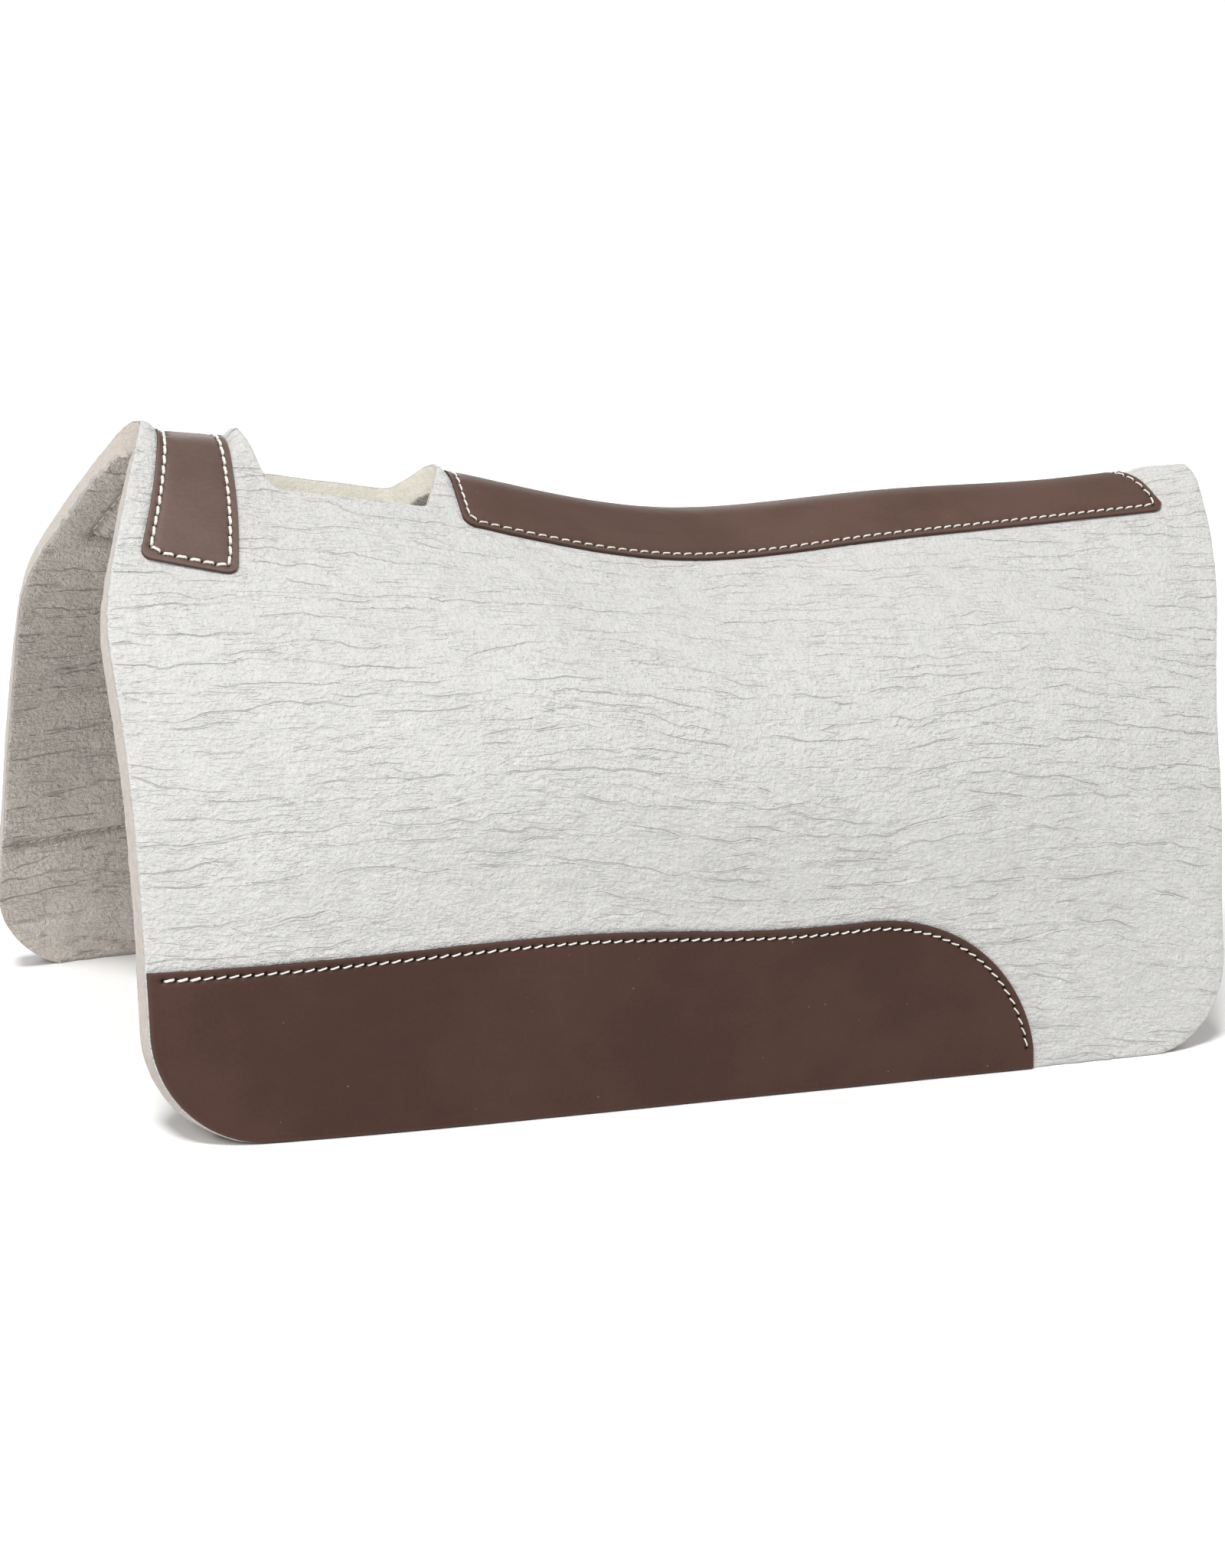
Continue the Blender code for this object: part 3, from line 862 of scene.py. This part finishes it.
FELT_WHITE = (0.672, 0.667, 0.650)
FELT_SHADE = (0.590, 0.585, 0.568)
FELT_CUT = (0.465, 0.41, 0.36)
FELT_CUT_LIGHT = (0.555, 0.50, 0.45)
# Painted light: a lighter cream for the cut rims near the spine, at the top of the pad.
FELT_OPENING_PAINTED_LIGHT = (0.72, 0.70, 0.60)
# The inner face: a warmer tint, and painted lighter than the outer felt as painted light under the arch.
FELT_INSIDE_WARM_PAINTED_LIGHTER = (0.76, 0.69, 0.63)
FELT_INSIDE_WARM_PAINTED_LIGHTER_SHADE = (0.66, 0.60, 0.545)
FELT_YELLOWED = (0.80, 0.745, 0.66)
FELT_SPECK = (0.36, 0.30, 0.24)
# Painted shade drawn along the felt's creases.
FELT_CREASE_PAINTED_SHADE = (0.42, 0.375, 0.33)
# Painted shade in the felt's small pits.
FELT_PIT_PAINTED_SHADE = (0.48, 0.45, 0.41)
# Painted shade in the inner stitch channels.
FELT_GROOVE_PAINTED_SHADE = (0.33, 0.29, 0.26)


def felt_material():
    """Pressed wool: pebbled and creased outside, cut at its edges, warmer inside with darker creases.
    Painted shade darkens its creases, pits and inner stitch channels, and painted light lightens its inner
    face and the cut rims near its spine.
    """
    n = Nodes("felt_cloth", 0.93, Sheen_Weight=0.25, Sheen_Roughness=0.6)
    n.shader.inputs["Specular IOR Level"].default_value = 0.25
    cloth = n.attribute("cloth")
    value, strength, bare = n.split(n.attribute("crease"))
    x, arc, level = n.split(cloth)
    depth = n.times(level, -1 / FELT)
    wall = n.times(n.ramp(depth, 0.02, 0.10), n.ramp(depth, 0.90, 0.985, 1.0, 0.0))
    inner = n.ramp(depth, 0.93, 0.99)
    face = n.math("SUBTRACT", 1.0, wall)

    # Long creases with a lip beside each, hair lines, and thin ripples.
    breaks = n.ramp(n.noise(cloth, 60, 3), 0.30, 0.46, 0.25, 1.0)
    line = n.near(value, 0.0, n.math("MULTIPLY_ADD", inner, 0.16, 0.20))
    line = n.times(n.times(line, strength), breaks)
    lip = n.times(n.times(n.near(value, 0.36, 0.34), strength), breaks)
    waves = n.noise(n.stretch(cloth, (0.26, 1.5, 1.0)), 105, 1)
    hair = n.times(n.near(waves, 0.5, 0.020), n.ramp(n.noise(cloth, 45, 3), 0.40, 0.60))
    ripples = n.noise(n.stretch(cloth, (0.30, 1.7, 1.0)), 190, 1)
    thin = n.times(n.near(ripples, 0.5, 0.045), n.ramp(n.noise(cloth, 75, 2), 0.42, 0.60))
    pebble = n.noise(cloth, 350, 3, 0.6)
    fibre = n.noise(n.stretch(cloth, (1.0, 1.4, 1.5)), 1000, 2, 0.6)

    shade = n.ramp(n.total((pebble, 1.1), (fibre, 0.55), (n.noise(cloth, 22, 2), 0.5)), 0.75, 1.45)
    layers = n.ramp(n.noise(n.stretch(cloth, (1.0, 1.0, 3.0)), 240, 3), 0.35, 0.65)
    cut = n.mix(layers, FELT_CUT, FELT_CUT_LIGHT)
    # Painted light: the cut felt near the spine, round the opening and along the seams, is a lighter cream
    # than the other cut edges.
    opening_painted_light = n.ramp(n.math("ABSOLUTE", arc), 0.04, 0.10, 0.75, 0.0)
    opening_painted_light = n.times(opening_painted_light, n.ramp(x, 0.29, 0.32, 1.0, 0.0))
    cut = n.mix(opening_painted_light, cut, FELT_OPENING_PAINTED_LIGHT)
    colour = n.mix(wall, n.mix(shade, FELT_SHADE, FELT_WHITE), cut)
    # The inner face is the same felt as the outside, given a warmer tint and painted lighter: painted light
    # under the arch.
    colour = n.mix(inner, colour, n.mix(shade, FELT_INSIDE_WARM_PAINTED_LIGHTER_SHADE, FELT_INSIDE_WARM_PAINTED_LIGHTER))
    yellow = n.times(n.ramp(n.noise(cloth, 120, 2), 0.62, 0.76, 0.0, 0.35), face)
    colour = n.mix(yellow, colour, FELT_YELLOWED)
    specks = n.ramp(n.cells(cloth, 75), 0.05, 0.11, 1.0, 0.0)
    specks = n.times(specks, n.ramp(n.noise(cloth, 40, 1), 0.55, 0.68))
    colour = n.mix(n.times(specks, 0.45), colour, FELT_SPECK)
    # Painted shade along the creases, stronger on the inner face, and along the hair lines and thin
    # ripples.
    drawn = n.total((line, 0.17), (n.times(line, inner), 0.45), (hair, 0.10), (thin, 0.06))
    colour = n.mix(drawn, colour, FELT_CREASE_PAINTED_SHADE)
    # Painted shade: small dark dots where the felt has pits.
    pit_painted_shade = n.ramp(n.cells(cloth, 260), 0.05, 0.30, 1.0, 0.0)
    pit_painted_shade = n.times(pit_painted_shade, n.ramp(n.noise(cloth, 90, 2), 0.50, 0.66))
    colour = n.mix(n.times(n.times(pit_painted_shade, face), 0.14), colour, FELT_PIT_PAINTED_SHADE)
    # Painted shade in the inner stitch channels, where the bobbin thread pulls the felt in.
    groove_painted_shade = n.times(n.math("SUBTRACT", 1.0, bare), inner)
    n.colour(n.mix(n.times(groove_painted_shade, 0.5), colour, FELT_GROOVE_PAINTED_SHADE))

    knobs = n.noise(n.stretch(cloth, (0.80, 1.2, 1.0)), 215, 2, 0.5)
    wrinkle = n.noise(n.stretch(cloth, (0.45, 1.8, 1.0)), 160, 2, 0.55)
    height = n.total((knobs, 1.35), (wrinkle, 0.35), (pebble, 2.1), (line, -0.85), (lip, 0.60),
                     (hair, -0.40), (thin, -0.30))
    rough = n.math("MULTIPLY_ADD", inner, 0.9, n.math("MULTIPLY_ADD", wall, -0.65, 1.0))
    grain = n.math("MULTIPLY_ADD", inner, -0.35, 0.55)
    n.bump(n.math("MULTIPLY_ADD", height, rough, n.times(fibre, grain)), 1.0)
    return n.material


# Each leather's colour, its darker patches and its worn rim.
STRAP_TONES = ((0.144, 0.096, 0.081), (0.112, 0.073, 0.060), (0.17, 0.115, 0.096))
# The ridge leather is the strap's trim leather painted darker: painted shade along the spine.
RIDGE_PAINTED_SHADE_TONES = ((0.108, 0.062, 0.048), (0.084, 0.046, 0.034), (0.13, 0.078, 0.060))
FLAP_TONES = ((0.071, 0.0345, 0.0258), (0.055, 0.0260, 0.0190), (0.092, 0.048, 0.037))
LEATHER_EDGE = (0.028, 0.016, 0.012)
# Painted shade in the stitch holes.
LEATHER_HOLE_PAINTED_SHADE = (0.01, 0.006, 0.005)
LEATHER_SPECK = (0.30, 0.24, 0.20)


def leather_material(name, colour, dark, worn):
    """Smooth oiled leather, worn along its rim, dark at its cut edge, and with painted shade in its stitch
    holes.
    """
    n = Nodes(name, 0.55)
    n.shader.inputs["Specular IOR Level"].default_value = 0.19
    cloth = n.attribute("cloth")
    rim, hole, _ = n.split(n.attribute("edge"))
    clouds = n.ramp(n.noise(cloth, 9, 3, 0.55), 0.35, 0.68)
    streaks = n.noise(n.stretch(cloth, (0.7, 1.2, 1.0)), 45, 4, 0.6)
    grain = n.cells(cloth, 1250, "SMOOTH_F1")
    fine = n.noise(cloth, 2600, 2)
    mottle = n.noise(cloth, 420, 3)
    shade = n.total((clouds, 0.42), (streaks, 0.42), (mottle, 0.55), (fine, 0.25))
    tone = n.mix(n.ramp(shade, 0.52, 1.12), dark, colour)
    tone = n.mix(n.ramp(rim, 0.0004, 0.0022, 0.55, 0.0), tone, worn)
    tone = n.mix(n.ramp(rim, -0.0004, 0.0006, 0.55, 0.0), tone, LEATHER_EDGE)
    # Painted shade: each stitch hole is darkened nearly to black.
    tone = n.mix(n.times(hole, 0.9), tone, LEATHER_HOLE_PAINTED_SHADE)
    specks = n.ramp(n.cells(cloth, 110), 0.03, 0.07, 1.0, 0.0)
    specks = n.times(specks, n.ramp(n.noise(cloth, 35, 1), 0.52, 0.60))
    tone = n.mix(n.times(specks, 0.55), tone, LEATHER_SPECK)
    n.colour(tone)
    n.roughness(n.math("MULTIPLY_ADD", mottle, 0.22, 0.42))
    n.bump(n.total((grain, 0.055), (fine, 0.020), (mottle, 0.05), (streaks, 0.06)), 0.8)
    return n.material


def thread_material():
    """Off-white thread, with painted shade where it goes into the leather."""
    n = Nodes("waxed_thread", 0.62)
    rise, own, _ = n.split(n.attribute("thread"))
    tone = n.mix(own, (0.78, 0.74, 0.68), (0.88, 0.85, 0.80))
    # Painted shade: the thread darkens where it dives into its hole.
    tone = n.mix(n.ramp(rise, 0.04, 0.34, 0.8, 0.0), tone, (0.20, 0.15, 0.12))
    coords = n.add("ShaderNodeTexCoord").outputs["Object"]
    fuzz = n.noise(coords, 2800, 3)
    tone = n.mix(n.ramp(fuzz, 0.35, 0.7, 0.25, 0.0), tone, (0.55, 0.49, 0.43))
    n.colour(tone)
    n.bump(n.times(fuzz, 0.06), 1.0)
    return n.material


def leather_colours(hole_distance):
    """edge: distance inside the rim in metres, and 1 in a stitch hole, where the material paints shade."""
    def colours(flat, depth):
        x, arc = flat.T
        rim = np.where(depth > 0.3, -0.001, -rim_distance(x, arc))
        hole = smooth((0.0017 - hole_distance(x, np.abs(arc))) / 0.0009) * (depth < 0.06)
        return {"edge": np.stack([rim, hole, np.zeros_like(x)], axis=1)}

    return colours


# ---- pieces ----

def show(piece, node, material):
    """Puts the piece in the place of its CAD node."""
    piece.data.materials.append(material)
    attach(piece, "root")
    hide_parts(node)
    return piece


def felt_radius(loop, kind):
    """Free edges are round, and seams and edges under leather nearly square."""
    radius = np.where((kind == 1) | (kind == 3), 0.0009, 0.0023)
    near = rim_distance(*loop.T)
    covered = smooth((0.006 - near) / 0.004)
    return radius + (0.0006 - radius) * covered * (kind == 0)


CUT_SLANT = 0.0060
CUT_EASED = 0.0030
CUT_RAGGED = 0.0010


def front_skew(flat, depth):
    """The right half's front edge is cut slanting, and ragged beside the seam."""
    x, arc = flat.T
    down = np.abs(arc)
    front = spline(FRONT_EDGE, np.clip(down, 0, EDGE_END))
    near = hump(x - front, 0.03) * (arc < 0) * smooth((0.46 - down) / 0.05)
    ragged = CUT_RAGGED * read_field(LUMPS, np.full_like(x, 0.3), arc) * hump(arc, 0.09)
    cut = CUT_SLANT * smooth((down - 0.008) / 0.035) - CUT_EASED * smooth((down - 0.12) / 0.12)
    along_x = near * (cut + ragged) * smooth(depth)
    return np.stack([along_x, np.zeros_like(x)], axis=1)


def groove_points():
    """Rows of flat points beside the stitch lines, so that grooves are round."""
    found = []
    for line in (STRAP_LINE, SPINE_LINE, WEAR_LINE):
        points, course = holes_on(line, False, 0.003)
        side = across(course)
        for offset in (-0.0055, -0.0036, -0.0018, 0.0, 0.0018, 0.0036, 0.0055):
            found.append(points + side * offset)
    found = np.vstack(found)
    return found[found[:, 1] > 0.001]


def make_felt():
    """The two felt halves, from one pattern."""
    cloth = felt_material()
    pattern = Pattern(felt_runs(), 0.0026, felt_radius, (0.00185, 1.9), (0.0036, 1.3, groove_points()),
                      1.0, 6)
    for name, node, hand in (("left_felt", "felt_left", 1), ("right_felt", "felt_right", -1)):
        skew = front_skew if hand < 0 else None
        piece = pattern.build(name, hand, felt_top, felt_bottom, 0.00014, felt_colours, skew)
        piece.data.transform(Matrix.Translation((0, hand * GAP / 2, 0)))
        show(piece, node, cloth)


def leather_radius(loop, kind):
    """A leather's edge is a little round all along."""
    return np.full(len(loop), 0.0007)


HOLE_DEPTH = 0.0018


def stitched(height, hole_distance):
    """The height function with a dimple at each hole."""
    def pressed(x, arc):
        near = smooth((0.0017 - hole_distance(x, np.abs(arc))) / 0.0011)
        return height(x, arc) - HOLE_DEPTH * near

    return pressed


def make_leather(name, node, runs, path, closed, hand, material, slant, pitch=PITCH):
    """A leather with its needle stitches on top and its bobbin stitches inside."""
    holes, course = holes_on(path, closed, pitch)
    pattern = Pattern(runs, 0.0022, leather_radius, (0.0020, 1.0, hole_points(holes, course)),
                      (0.0045, 1.0), 0.4, 1)
    hole_distance = nearest(np.stack([holes[:, 0], np.abs(holes[:, 1])], axis=1))
    top = stitched(leather_top, hole_distance)
    piece = pattern.build(name, hand, top, leather_bottom, 0.0, leather_colours(hole_distance))
    show(piece, node, material)
    return sewn(holes, course, closed, hand, slant)


def make_pieces():
    """The leathers and all the thread."""
    thread = thread_material()
    strap = leather_material("strap_leather", *STRAP_TONES)
    # The ridge leather is the trim leather painted darker: painted shade along the spine.
    ridge = leather_material("ridge_leather", *RIDGE_PAINTED_SHADE_TONES)
    dark = leather_material("flap_leather", *FLAP_TONES)
    strap_runs = [strap_half(0.0), [(x, -a) for x, a in strap_half(0.0)[::-1]]]
    spine_runs = [spine_half(0.0), [(x, -a) for x, a in spine_half(0.0)[::-1]]]
    both = (("withers_leather", "wither_strap", strap_runs, both_sides(strap_half(STITCH_INSET)),
             "trim_leather", STRAP_FLAT, STRAP_AREA, "strap", strap),
            ("ridge_leather", "spine_leather", spine_runs, both_sides(spine_half(STITCH_INSET)),
             "trim_leather", SPINE_FLAT, SPINE_AREA, "spine", ridge))
    for name, node, runs, path, slot, flat, area, stem, look in both:
        ends = make_leather(name, node, runs, path, True, 1, look, SLANT[stem])
        size = STRAP_THREAD if stem == "strap" else THREAD
        needle = thread_mesh(stem + "_needle_stitches", ends, leather_top, 1, size, seed=11)
        show(needle, stem + "_needle_thread", thread)
        name = stem + "_bobbin_stitches"
        bobbin = thread_mesh(name, ends, felt_bottom, -1, BOBBIN_THREAD, 9, 8, 0.001, 12)
        show(bobbin, stem + "_bobbin_thread", thread)
    for side, hand in (("left", 1), ("right", -1)):
        ends = make_leather(side + "_flap_leather", "wear_leather_" + side, wear_runs(),
                            wear_top(STITCH_INSET), False, hand, dark,
                            SLANT["flap"], FLAP_PITCH)
        size = np.full(len(ends[0]), FLAP_THREAD)
        size[:3] *= 1.5
        needle = thread_mesh(side + "_flap_needle_stitches", ends, leather_top, 1, size, seed=13)
        show(needle, "wear_needle_thread_" + side, thread)
        name = side + "_flap_bobbin_stitches"
        bobbin = thread_mesh(name, ends, felt_bottom, -1, BOBBIN_THREAD, 9, 8, 0.001, 14)
        show(bobbin, "wear_bobbin_thread_" + side, thread)
    make_seams(thread)


def make_seams(thread):
    """The zig-zag stitches that join the felt halves, on the inside of the ridge."""
    spans = (("front_ridge_zigzag", "spine_seam_front", OPENING_FRONT[0] + 0.006, FRONT_EDGE[0][1] - 0.006),
             ("rear_ridge_zigzag", "spine_seam_rear", REAR_EDGE[0][1] + 0.006, OPENING_REAR[0] - 0.006))
    for name, node, first, last in spans:
        xs = np.linspace(first, last, round((last - first) / 0.006) + 1)
        corners = np.stack([xs, SEAM_HALF_WIDTH * (-1.0) ** np.arange(len(xs))], axis=1)
        ends = corners[:-1], corners[1:]
        piece = thread_mesh(name, ends, felt_bottom, -1, SEAM_THREAD, 11, 8, 0.001, 15)
        show(piece, node, thread)


# ---- stage ----

def plain(name, colour, roughness):
    """A material of one colour."""
    n = Nodes(name, roughness)
    n.shader.inputs["Base Color"].default_value = (*colour, 1)
    n.shader.inputs["Specular IOR Level"].default_value = 0.1
    return n.material


def make_floor():
    """A pale floor that reaches far past the picture."""
    mesh = bpy.data.meshes.new("floor")
    reach = 80.0
    corners = [(-reach, -reach, 0), (reach, -reach, 0), (reach, reach, 0), (-reach, reach, 0)]
    mesh.from_pydata(corners, [], [(0, 1, 2, 3)])
    floor = bpy.data.objects.new("floor", mesh)
    mesh.materials.append(plain("floor_paper", (0.90, 0.90, 0.895), 0.9))
    link(floor)


def make_world():
    """Plain pale light from all around, a little paler along the horizon."""
    world = bpy.data.worlds.new("studio")
    world.use_nodes = True
    nodes, links = world.node_tree.nodes, world.node_tree.links
    background = nodes["Background"]
    place = nodes.new("ShaderNodeTexCoord")
    parts = nodes.new("ShaderNodeSeparateXYZ")
    links.new(place.outputs["Generated"], parts.inputs[0])
    level = nodes.new("ShaderNodeMapRange")
    links.new(parts.outputs[2], level.inputs["Value"])
    for key, value in (("From Min", 0.0), ("From Max", 0.16), ("To Min", 1.04), ("To Max", 0.47)):
        level.inputs[key].default_value = value
    links.new(level.outputs[0], background.inputs["Strength"])
    background.inputs["Color"].default_value = (1.0, 1.0, 1.0, 1)
    bpy.context.scene.world = world


def add_lamp(name, kind, place, aim, **settings):
    """A lamp at a place, turned towards its aim."""
    data = bpy.data.lights.new(name, kind)
    for key, value in settings.items():
        setattr(data, key, value)
    lamp = bpy.data.objects.new(name, data)
    lamp.location = place
    lamp.rotation_euler = (Vector(aim) - Vector(place)).to_track_quat("-Z", "Y").to_euler()
    link(lamp)


def make_lamps():
    """A broad soft lamp over the front left, and two large fills.

    The front fill reaches under the arch, and the other lights the right side.
    """
    add_lamp("softbox", "SUN", (0.60, 0.60, 1.85), (0, 0, 0), energy=2.4, angle=math.radians(14))
    panel = {"shape": "RECTANGLE", "size": 1.0, "size_y": 0.7}
    add_lamp("front_fill", "AREA", (2.0, 1.5, 1.8), (0.1, -0.05, 0.2), energy=16, **panel)
    add_lamp("right_fill", "AREA", (-0.9, -2.8, 1.7), (0.1, -0.05, 0.2), energy=22, **panel)


def make_stage():
    """The floor, the light and the picture's colour setting."""
    make_floor()
    make_world()
    make_lamps()
    bpy.context.scene.view_settings.view_transform = "Standard"


def make_camera():
    """The photograph's viewing point: over the pad's left side, from a little in front."""
    yaw, pitch, roll = 0.42397, -0.23238, 0.04178
    ahead = Vector((-math.sin(yaw) * math.cos(pitch), -math.cos(yaw) * math.cos(pitch), math.sin(pitch)))
    right = Vector((-math.cos(yaw), math.sin(yaw), 0))
    up = right.cross(ahead)
    tilted_right = right * math.cos(roll) + up * math.sin(roll)
    tilted_up = up * math.cos(roll) - right * math.sin(roll)
    data = bpy.data.cameras.new("camera")
    data.lens = 77.08
    data.sensor_width = 36.0
    data.clip_end = 500.0
    camera = bpy.data.objects.new("camera", data)
    turn = Matrix((tilted_right, tilted_up, -ahead)).transposed()
    camera.matrix_world = Matrix.Translation((0.9296, 1.99606, 0.6694)) @ turn.to_4x4()
    link(camera)
    bpy.context.scene.camera = camera


make_felt()
make_pieces()
make_stage()
make_camera()
